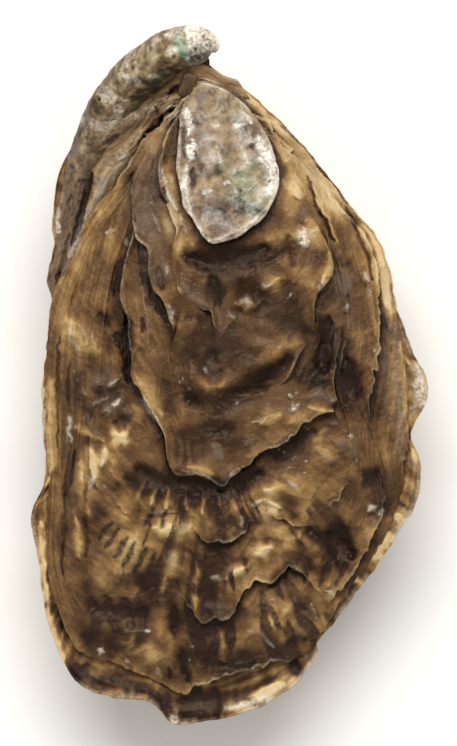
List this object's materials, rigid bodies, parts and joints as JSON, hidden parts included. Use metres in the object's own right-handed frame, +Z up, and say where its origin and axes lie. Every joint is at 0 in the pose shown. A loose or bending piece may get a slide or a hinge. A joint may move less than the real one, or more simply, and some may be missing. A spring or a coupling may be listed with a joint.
{
  "type": "oyster in shell",
  "caption": "Whole closed oyster in its shell, lying on its cupped valve, with a flatter upper valve of overlapping frilled growth plates and a rolled beak at the hinge.",
  "frame": {"origin": "under the middle of the shell's box, on the surface it rests on", "axes": "+Z up through the two closed valves; +Y towards the hinge and beak; +X to the right seen from above with the hinge at the far side"},
  "size_m": [0.063, 0.1115, 0.0295],
  "materials": {
    "lower_shell": "satin",
    "upper_shell": "satin",
    "ligament": "satin"
  },
  "bodies": {
    "root": {"lower_valve": "lower_shell", "upper_valve": "upper_shell", "ligament": "ligament"}
  },
  "joints": []
}
